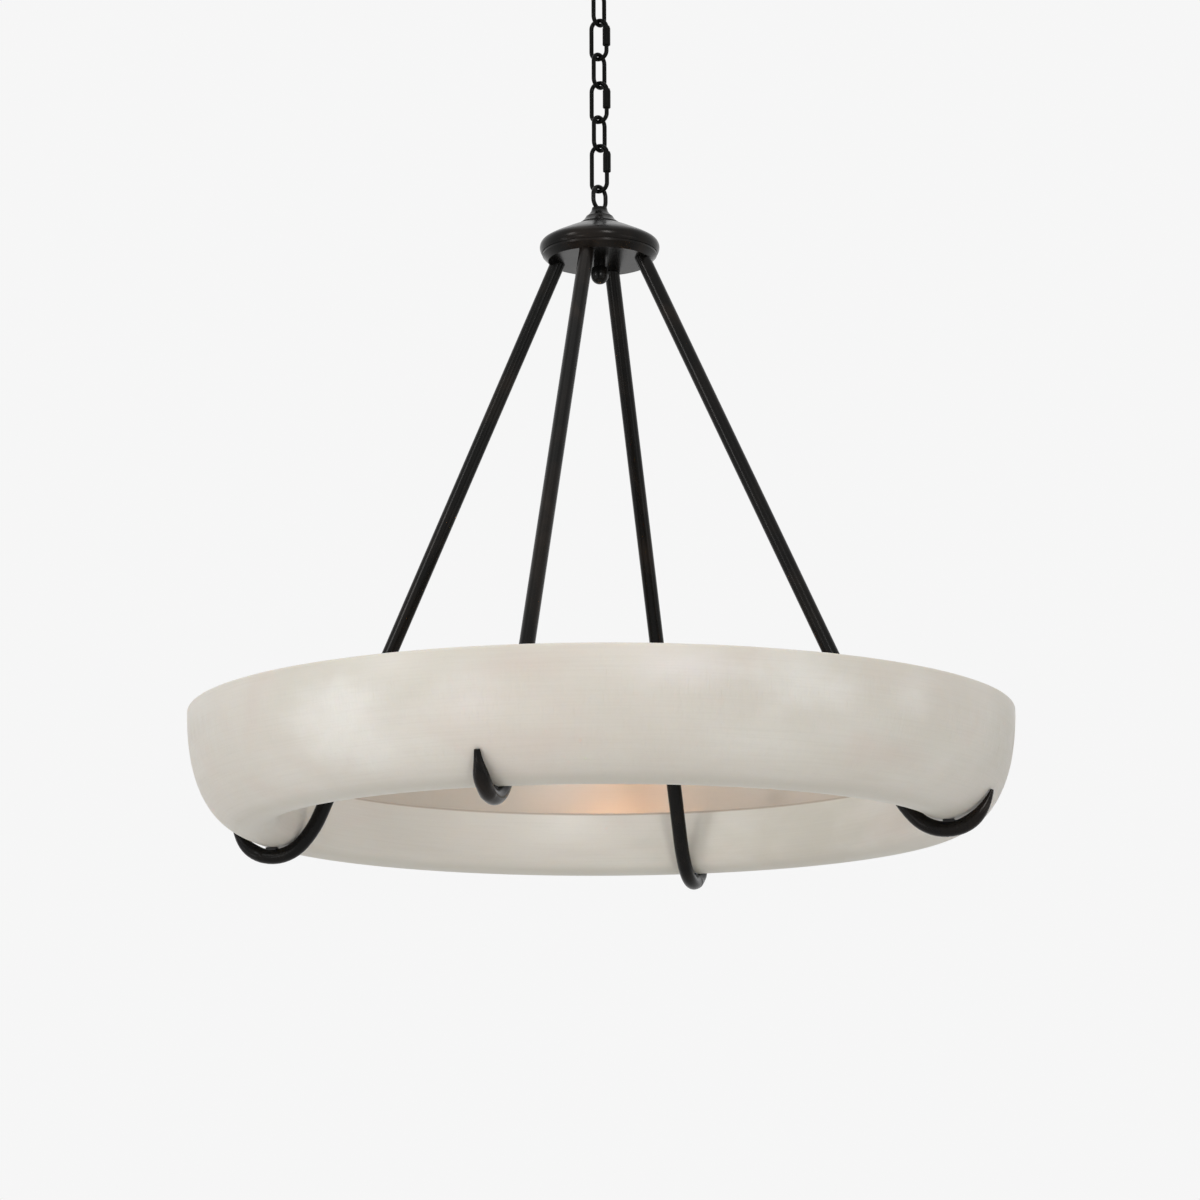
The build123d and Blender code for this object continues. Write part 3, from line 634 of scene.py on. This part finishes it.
@dataclass(frozen=True)
class LitGlass:
    """Frosted lamp envelope that glows warm, bright in one half and dim in the other."""

    tone: Rgb = linear(255, 238, 214)
    deep: Wash = Wash(linear(250, 228, 200), 0.4)
    glow: Rgb = (1.0, 0.5, 0.19)
    hot: Wash = Wash((1.0, 0.55, 0.24), 0.4)
    hot_edge: Edge = (0.5, 0.5)
    strength: float = 52.0
    far_end: float = 0.12
    coil_edge: Edge = (math.radians(LAMP_TURN + 0.6), math.radians(3.0))
    frost: Triple = even(500.0)
    cloud: Triple = even(60.0)
    roughness: float = 0.4
    sway: float = 0.2

    def material(self) -> bpy.types.Material:
        """Builds the lamp's material; the glow follows the angle round the pendant's axis."""
        shader = Shader("lamp_glass")
        frost = shader.noise(self.frost, rough=0.6)
        cloud = shader.noise(self.cloud)
        east, north = shader.axis(0), shader.axis(1)
        angle = shader.node("ShaderNodeMath", {0: north, 1: east}, operation="ARCTAN2")
        quarter = shader.node(
            "ShaderNodeMath", {0: angle, 1: math.pi / 2}, operation="FLOORED_MODULO")
        warm = shader.wash(self.glow, cloud.above(*self.hot_edge), self.hot)
        dim = tuple(level * self.far_end for level in self.glow)
        return shader.surface(
            Base_Color=shader.wash(self.tone, cloud, self.deep),
            Roughness=self.roughness + frost.swing(self.sway),
            Normal=shader.bump(frost, depth=0.02 * MM, strength=0.4),
            Emission_Color=shader.blend(quarter.above(*self.coil_edge), dim, warm),
            Emission_Strength=self.strength,
        )


class Repeater(Graph):
    """Geometry tree with named inputs, applied once and turned into a plain mesh."""

    def __init__(self, name: str, **sizes: Any) -> None:
        """Makes the tree and its interface.

        Args:
            name: name of the tree.
            **sizes: named inputs with their values; ints, floats, vectors or a material.
        """
        super().__init__(bpy.data.node_groups.new(name, "GeometryNodeTree"))
        face = self.tree.interface
        face.new_socket(name="Geometry", in_out="OUTPUT", socket_type="NodeSocketGeometry")
        self.sizes = sizes
        for key, value in sizes.items():
            kind = "NodeSocketFloat"
            if isinstance(value, bpy.types.Material):
                kind = "NodeSocketMaterial"
            elif isinstance(value, int):
                kind = "NodeSocketInt"
            elif isinstance(value, tuple):
                kind = "NodeSocketVector"
            face.new_socket(name=key, in_out="INPUT", socket_type=kind)
        self.source = self.tree.nodes.new("NodeGroupInput")
        self.sink = self.tree.nodes.new("NodeGroupOutput")

    def size(self, key: str) -> Wire:
        """Named input as a Wire."""
        return Wire(self, self.source.outputs[key])

    def close(self, geometry: Wire) -> None:
        """Ends the tree in Realize Instances and Set Material.

        Args:
            geometry: what the tree has made.
        """
        solid = self.node("GeometryNodeRealizeInstances", {0: geometry})
        dressed = self.node(
            "GeometryNodeSetMaterial", {"Geometry": solid, "Material": self.size("Material")})
        self.tree.links.new(dressed.socket, self.sink.inputs[0])

    def mesh(self, name: str, **changed: Any) -> bpy.types.Object:
        """Runs the tree and keeps the result as a plain object.

        Args:
            name: name of the new object.
            **changed: inputs that differ from the tree's own values.

        Returns:
            The new object, at the origin.
        """
        holder = bpy.data.objects.new(name + "_holder", bpy.data.meshes.new(name + "_holder"))
        bpy.context.scene.collection.objects.link(holder)
        modifier = holder.modifiers.new("tree", "NODES")
        modifier.node_group = self.tree
        values = {**self.sizes, **changed}
        for item in self.tree.interface.items_tree:
            if item.in_out == "INPUT":
                modifier[item.identifier] = values[item.name]
        graph = bpy.context.evaluated_depsgraph_get()
        mesh = bpy.data.meshes.new_from_object(holder.evaluated_get(graph), depsgraph=graph)
        holder.modifiers.remove(modifier)
        bpy.data.objects.remove(holder)
        mesh.name = name
        piece = bpy.data.objects.new(name, mesh)
        bpy.context.scene.collection.objects.link(piece)
        return piece


def ribs_tree(material: bpy.types.Material) -> Repeater:
    """Tree of equal ribs round an axis, for a knurled edge or cooling ribs.

    Args:
        material: material of the ribs.

    Returns:
        The tree; its axis is Z until Turn and Place move it.
    """
    tree = Repeater(
        "ribs_round_an_axis", Count=24, Radius=1.0, Rib=(1.0, 1.0, 1.0), Turn=(0.0, 0.0, 0.0),
        Place=(0.0, 0.0, 0.0), Material=material)
    spots = tree.node(
        "GeometryNodeMeshCircle", {"Vertices": tree.size("Count"), "Radius": tree.size("Radius")})
    rib = tree.node("GeometryNodeMeshCube", {"Size": tree.size("Rib")})
    step = math.tau / tree.size("Count")
    angle = tree.node("GeometryNodeInputIndex") * step
    turn = tree.node("ShaderNodeCombineXYZ", {"Z": angle})
    ribs = tree.node(
        "GeometryNodeInstanceOnPoints", {"Points": spots, "Instance": rib, "Rotation": turn})
    placed = tree.node(
        "GeometryNodeTransform",
        {"Geometry": ribs, "Rotation": tree.size("Turn"), "Translation": tree.size("Place")})
    tree.close(placed)
    return tree


def thread_tree(material: bpy.types.Material, steps: int = 20, sides: int = 4) -> Repeater:
    """Tree of a screw thread: a small ridge that follows a helix.

    Args:
        material: material of the thread.
        steps: points on each turn of the helix.
        sides: sides of the ridge's section.

    Returns:
        The tree; the helix rises from Place along Z.
    """
    tree = Repeater(
        "thread_helix", Turns=10.0, Radius=1.0, Length=1.0, Ridge=0.1, Place=(0.0, 0.0, 0.0),
        Material=material)
    helix = tree.node(
        "GeometryNodeCurveSpiral",
        {"Resolution": steps, "Rotations": tree.size("Turns"), "Start Radius": tree.size("Radius"),
         "End Radius": tree.size("Radius"), "Height": tree.size("Length")})
    ridge = tree.node(
        "GeometryNodeCurvePrimitiveCircle", {"Resolution": sides, "Radius": tree.size("Ridge")})
    wound = tree.node(
        "GeometryNodeCurveToMesh", {"Curve": helix, "Profile Curve": ridge, "Fill Caps": True})
    placed = tree.node(
        "GeometryNodeTransform", {"Geometry": wound, "Translation": tree.size("Place")})
    tree.close(placed)
    return tree


@dataclass
class Finishes:
    """Every material of the lamp, made once."""

    stone: bpy.types.Material = field(default_factory=lambda: Alabaster().material())
    bronze: bpy.types.Material = field(default_factory=lambda: BronzePaint().material())
    chain: bpy.types.Material = field(
        default_factory=lambda: BronzePaint(
            "dark_bronze_chain", linear(12, 13, 12), linear(26, 24, 21), 0.28, gloss=0.08).material())
    zinc: bpy.types.Material = field(default_factory=lambda: PlatedSteel("zinc_steel").material())
    bright: bpy.types.Material = field(
        default_factory=lambda: PlatedSteel("bright_steel", Sheen.BRIGHT).material())
    bush: bpy.types.Material = field(
        default_factory=lambda: Moulded(
            "black_rubber", linear(34, 34, 34), linear(26, 26, 26), 0.7).material())
    white: bpy.types.Material = field(
        default_factory=lambda: Moulded(
            "white_paint", linear(226, 222, 214), linear(214, 210, 202), 0.45, coat=0.1).material())
    ceramic: bpy.types.Material = field(
        default_factory=lambda: Moulded(
            "ceramic", linear(236, 233, 225), linear(224, 220, 210), 0.5, 500.0).material())
    glass: bpy.types.Material = field(default_factory=lambda: LitGlass().material())


@dataclass
class CadParts:
    """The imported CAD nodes, dressed by material and never reshaped."""

    nodes: dict[str, bpy.types.Object]
    finishes: Finishes

    def plan(self) -> dict[str, bpy.types.Material]:
        """Says which finish each node takes.

        Returns:
            Start of a node's name to its material.
        """
        kit = self.finishes
        return {
            "alabaster_ring": kit.stone,
            "arm_grub": kit.zinc,
            "arm_": kit.bronze,
            "hub_stem": kit.zinc,
            "hub_nut": kit.zinc,
            "hub_": kit.bronze,
            "finial": kit.bronze,
            "canopy": kit.bronze,
            "screw_collar": kit.bronze,
            "ceiling_eye": kit.chain,
            "ceiling_stem": kit.zinc,
            "stem_nut": kit.bright,
            "crossbar": kit.zinc,
            "chain_link": kit.chain,
            "lock_link": kit.chain,
            "lock_sleeve": kit.chain,
            "wire_bushes": kit.bush,
            "rest_pads": kit.bush,
            "lamp_carrier": kit.white,
            "holder_screws": kit.bright,
            "lampholder": kit.ceramic,
            "lamp_": kit.glass,
        }

    def dress(self) -> int:
        """Gives every node its material.

        Returns:
            How many nodes were dressed.
        """
        plan = self.plan()
        for name, node in self.nodes.items():
            start = next(key for key in plan if name.startswith(key))
            for slot in node.material_slots:
                slot.material = plan[start]
        return len(self.nodes)


@dataclass
class RingNutKnurl:
    """Straight knurl round the ring nut; each rib stands proud of it and is rooted in it."""

    nut_radius: float = 19.5 * MM
    top: float = -36.6 * MM
    height: float = 6.8 * MM
    count: int = 72
    proud: float = 0.35 * MM
    rib_width: float = 0.8 * MM

    def build(self, ribs: Repeater, finish: bpy.types.Material) -> bpy.types.Object:
        """Builds the knurl and sets it on the ring nut.

        Args:
            ribs: tree of ribs round an axis.
            finish: the nut's material.

        Returns:
            The knurl.
        """
        knurl = ribs.mesh(
            "ring_nut_knurl", Count=self.count, Radius=self.nut_radius - self.proud,
            Rib=(4 * self.proud, self.rib_width, self.height),
            Place=(0.0, 0.0, self.top - self.height / 2), Material=finish)
        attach(knurl, "collar")
        return knurl


@dataclass
class StemThread:
    """Thread on the hollow stem where it crosses the ceiling cover."""

    radius: float = 4.98 * MM
    top: float = -7.0 * MM
    length: float = 20.0 * MM
    pitch: float = 1.0 * MM
    ridge: float = 0.32 * MM

    def build(self, threads: Repeater) -> bpy.types.Object:
        """Builds the thread and sets it on the stem.

        Args:
            threads: tree of a thread.

        Returns:
            The thread.
        """
        thread = threads.mesh(
            "stem_thread", Turns=self.length / self.pitch, Radius=self.radius, Length=self.length,
            Ridge=self.ridge, Place=(0.0, 0.0, self.top - self.length))
        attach(thread, "ceiling_mount")
        return thread


@dataclass
class LampCoolers:
    """Ceramic cooling ribs round the foot of each lamp."""

    along: float = 10.0 * MM
    lamp_radius: float = 8.0 * MM
    length: float = 14.0 * MM
    count: int = 16
    proud: float = 0.5 * MM
    rib_width: float = 1.3 * MM
    bodies: tuple[str, ...] = ("lamp_a", "lamp_b", "lamp_c", "lamp_d")

    def build(self, ribs: Repeater, finish: bpy.types.Material) -> list[bpy.types.Object]:
        """Builds one set of ribs for each lamp.

        Args:
            ribs: tree of ribs round an axis.
            finish: ceramic.

        Returns:
            The four sets.
        """
        made = []
        for quarter, body in zip(QUARTERS, self.bodies):
            turn = math.radians(quarter + LAMP_TURN)
            out = Vector((math.cos(turn), math.sin(turn), 0.0))
            side = Vector((-math.sin(turn), math.cos(turn), 0.0))
            spot = out * LAMP_RING_R + side * self.along + Vector((0.0, 0.0, LAMP_Z))
            coolers = ribs.mesh(
                "cooling_ribs_" + body[-1], Count=self.count, Radius=self.lamp_radius,
                Rib=(2 * self.proud, self.rib_width, self.length),
                Turn=(math.pi / 2, 0.0, turn), Place=tuple(spot), Material=finish)
            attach(coolers, body)
            made.append(coolers)
        return made


@dataclass(frozen=True)
class SoftBox:
    """One soft box, placed by its turn from the camera's side and its rise."""

    name: str
    turn: float
    rise: float
    distance: float
    size: tuple[float, float]
    power: float


BOXES = (
    SoftBox("box_left", -54.0, 13.0, 3.2, (0.6, 1.0), 17.3),
    SoftBox("box_right", 14.0, 14.0, 3.2, (0.6, 0.8), 24.2),
    SoftBox("box_low_front", -40.0, -20.0, 3.2, (0.45, 0.5), 4.0),
    SoftBox("box_low_left", -76.0, -20.0, 2.8, (0.3, 1.2), 3.5),
    SoftBox("box_low_right", 58.0, -15.0, 3.2, (2.2, 0.4), 4.0),
    SoftBox("box_above", 0.0, 84.0, 3.0, (3.0, 3.0), 22.0),
)


@dataclass
class Studio:
    """Pale studio: world, soft boxes, a far floor and the camera."""

    view_turn: float = math.radians(16.43)
    aim_height: float = 120.0 * MM
    distance: float = 4033.8 * MM
    drop: float = 659.4 * MM
    pitch: float = math.radians(11.1)
    roll: float = -0.0033
    lens: float = 110.36
    sensor: float = 36.0
    reach: float = 60.0
    shift: float = -0.8 / 1200
    floor_z: float = -2.6
    floor_size: float = 40.0
    floor_mottle: Triple = even(0.8)
    floor_tone: Rgb = linear(242, 242, 241)
    floor_wash: Wash = Wash(linear(238, 238, 237), 0.3)
    floor_roughness: float = 0.8
    floor_sway: float = 0.1
    floor_paper: float = 0.7
    paper: Rgb = even(0.923)
    ambient: float = 0.5
    ambient_tone: Rgb = (1.0, 0.99, 0.97)

    def frame(self) -> tuple[Vector, Vector]:
        """Picture's right and the way to the camera, both level."""
        right = Vector((math.cos(self.view_turn), math.sin(self.view_turn), 0.0))
        near = Vector((math.sin(self.view_turn), -math.cos(self.view_turn), 0.0))
        return right, near

    def camera(self) -> None:
        """Sets the camera where the photograph was taken."""
        data = bpy.data.cameras.new("camera")
        data.lens = self.lens
        data.sensor_width = self.sensor
        data.clip_end = self.reach
        data.shift_x = self.shift
        camera = bpy.data.objects.new("camera", data)
        _, near = self.frame()
        camera.location = near * self.distance + Vector((0.0, 0.0, RIM_Z - self.drop))
        aim = Euler((math.pi / 2 + self.pitch, 0.0, self.view_turn)).to_matrix()
        camera.rotation_euler = (aim @ Matrix.Rotation(self.roll, 3, "Z")).to_euler()
        bpy.context.scene.collection.objects.link(camera)
        bpy.context.scene.camera = camera

    def light(self, box: SoftBox) -> None:
        """Adds a soft box that faces the lamp.

        Args:
            box: its place, size and power.
        """
        data = bpy.data.lights.new(box.name, "AREA")
        data.shape = "RECTANGLE"
        data.size, data.size_y = box.size
        data.energy = box.power
        light = bpy.data.objects.new(box.name, data)
        right, near = self.frame()
        turn, rise = math.radians(box.turn), math.radians(box.rise)
        level = right * math.sin(turn) + near * math.cos(turn)
        away = level * math.cos(rise) + Vector((0.0, 0.0, math.sin(rise)))
        light.location = Vector((0.0, 0.0, RIM_Z + self.aim_height)) + away * box.distance
        light.rotation_euler = (-away).to_track_quat("-Z", "Y").to_euler()
        bpy.context.scene.collection.objects.link(light)

    def seen(self, graph: Graph) -> Wire:
        """What the camera, gloss and glass see, apart from what lights the lamp.

        Args:
            graph: tree that the nodes go into.

        Returns:
            1 for such rays and 0 for the rest.
        """
        camera, gloss, glass = (
            graph.node("ShaderNodeLightPath", out="Is " + ray + " Ray")
            for ray in ("Camera", "Glossy", "Transmission"))
        return camera + gloss + glass

    def world(self) -> None:
        """Adds soft ambient light, and white paper for what the camera and gloss see."""
        world = bpy.data.worlds.new("studio")
        world.use_nodes = True
        bpy.context.scene.world = world
        graph = Graph(world.node_tree)
        graph.tree.nodes.clear()
        soft = graph.node(
            "ShaderNodeBackground", {"Color": self.ambient_tone, "Strength": self.ambient})
        white = graph.node("ShaderNodeBackground", {"Color": self.paper, "Strength": 1.0})
        mixed = graph.node("ShaderNodeMixShader", {0: self.seen(graph), 1: soft, 2: white})
        output = graph.tree.nodes.new("ShaderNodeOutputWorld")
        graph.tree.links.new(mixed.socket, output.inputs["Surface"])

    def floor(self) -> None:
        """Adds a pale floor far below the hanging lamp, which keeps part of its shadow."""
        bpy.ops.mesh.primitive_plane_add(size=self.floor_size, location=(0.0, 0.0, self.floor_z))
        floor = bpy.context.object
        floor.name = "studio_floor"
        shader = Shader("studio_floor")
        mottle = shader.noise(self.floor_mottle)
        rough = self.floor_roughness + mottle.swing(self.floor_sway)
        matt = shader.node(
            "ShaderNodeBsdfPrincipled",
            {"Base Color": shader.wash(self.floor_tone, mottle, self.floor_wash), "Roughness": rough})
        white = shader.node("ShaderNodeEmission", {"Color": self.paper, "Strength": 1.0})
        mixed = shader.node(
            "ShaderNodeMixShader", {0: self.seen(shader) * self.floor_paper, 1: matt, 2: white})
        floor.data.materials.append(shader.close(mixed))

    def build(self) -> None:
        """Builds the studio and sets the view transform."""
        self.world()
        for box in BOXES:
            self.light(box)
        self.floor()
        self.camera()
        bpy.context.scene.view_settings.view_transform = "Standard"


def clear() -> None:
    """Empties the start-up scene."""
    for thing in list(bpy.data.objects):
        bpy.data.objects.remove(thing)


def main() -> None:
    """Loads the frame, dresses it, adds the small pieces and the studio."""
    logging.basicConfig(level=logging.INFO, format="%(message)s")
    clear()
    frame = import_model()
    finishes = Finishes()
    parts = CadParts(frame["nodes"], finishes)
    log.info("dressed %d CAD nodes", parts.dress())
    ribs = ribs_tree(finishes.bronze)
    threads = thread_tree(finishes.zinc)
    pieces = [
        RingNutKnurl().build(ribs, finishes.bronze),
        StemThread().build(threads),
        *LampCoolers().build(ribs, finishes.ceramic),
    ]
    for piece in pieces:
        log.info("%s: %d faces", piece.name, len(piece.data.polygons))
    Studio().build()


if __name__ == "__main__":
    main()
